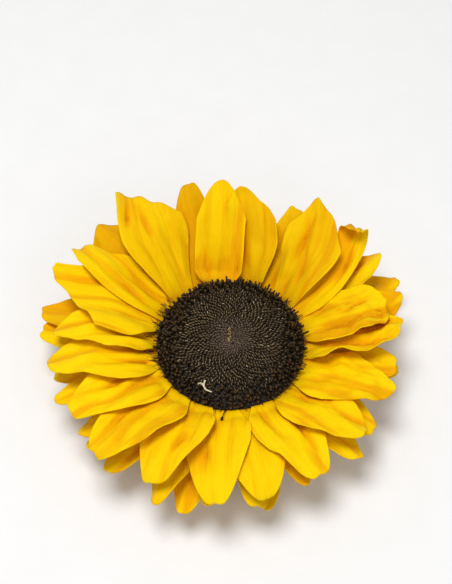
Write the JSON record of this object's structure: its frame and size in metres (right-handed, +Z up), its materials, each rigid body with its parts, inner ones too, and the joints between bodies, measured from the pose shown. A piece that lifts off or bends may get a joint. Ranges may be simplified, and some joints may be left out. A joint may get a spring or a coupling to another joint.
{
  "type": "sunflower head",
  "caption": "Cut sunflower head lying face up: ruffled yellow ray petals in overlapping tiers round a dark domed disc of spiralled florets, with pointed green bracts beneath.",
  "frame": {"origin": "middle of the flat cut face under the receptacle, on the head's axis, at the surface that the head lies on", "axes": "+Z up along the head's axis, out of the disc; +Y to the far side of the head as pictured"},
  "size_m": [0.1523, 0.1481, 0.0424],
  "materials": {
    "green_bract": "matte, hairy leaf green with pale ribs",
    "yellow_petal": "satin golden yellow petal with fine lengthwise veins",
    "dark_floret": "matte dark brown florets with tan tips"
  },
  "bodies": {
    "root": {"receptacle": "green_bract", "ray_petals": "yellow_petal", "disc_florets": "dark_floret"}
  },
  "joints": []
}
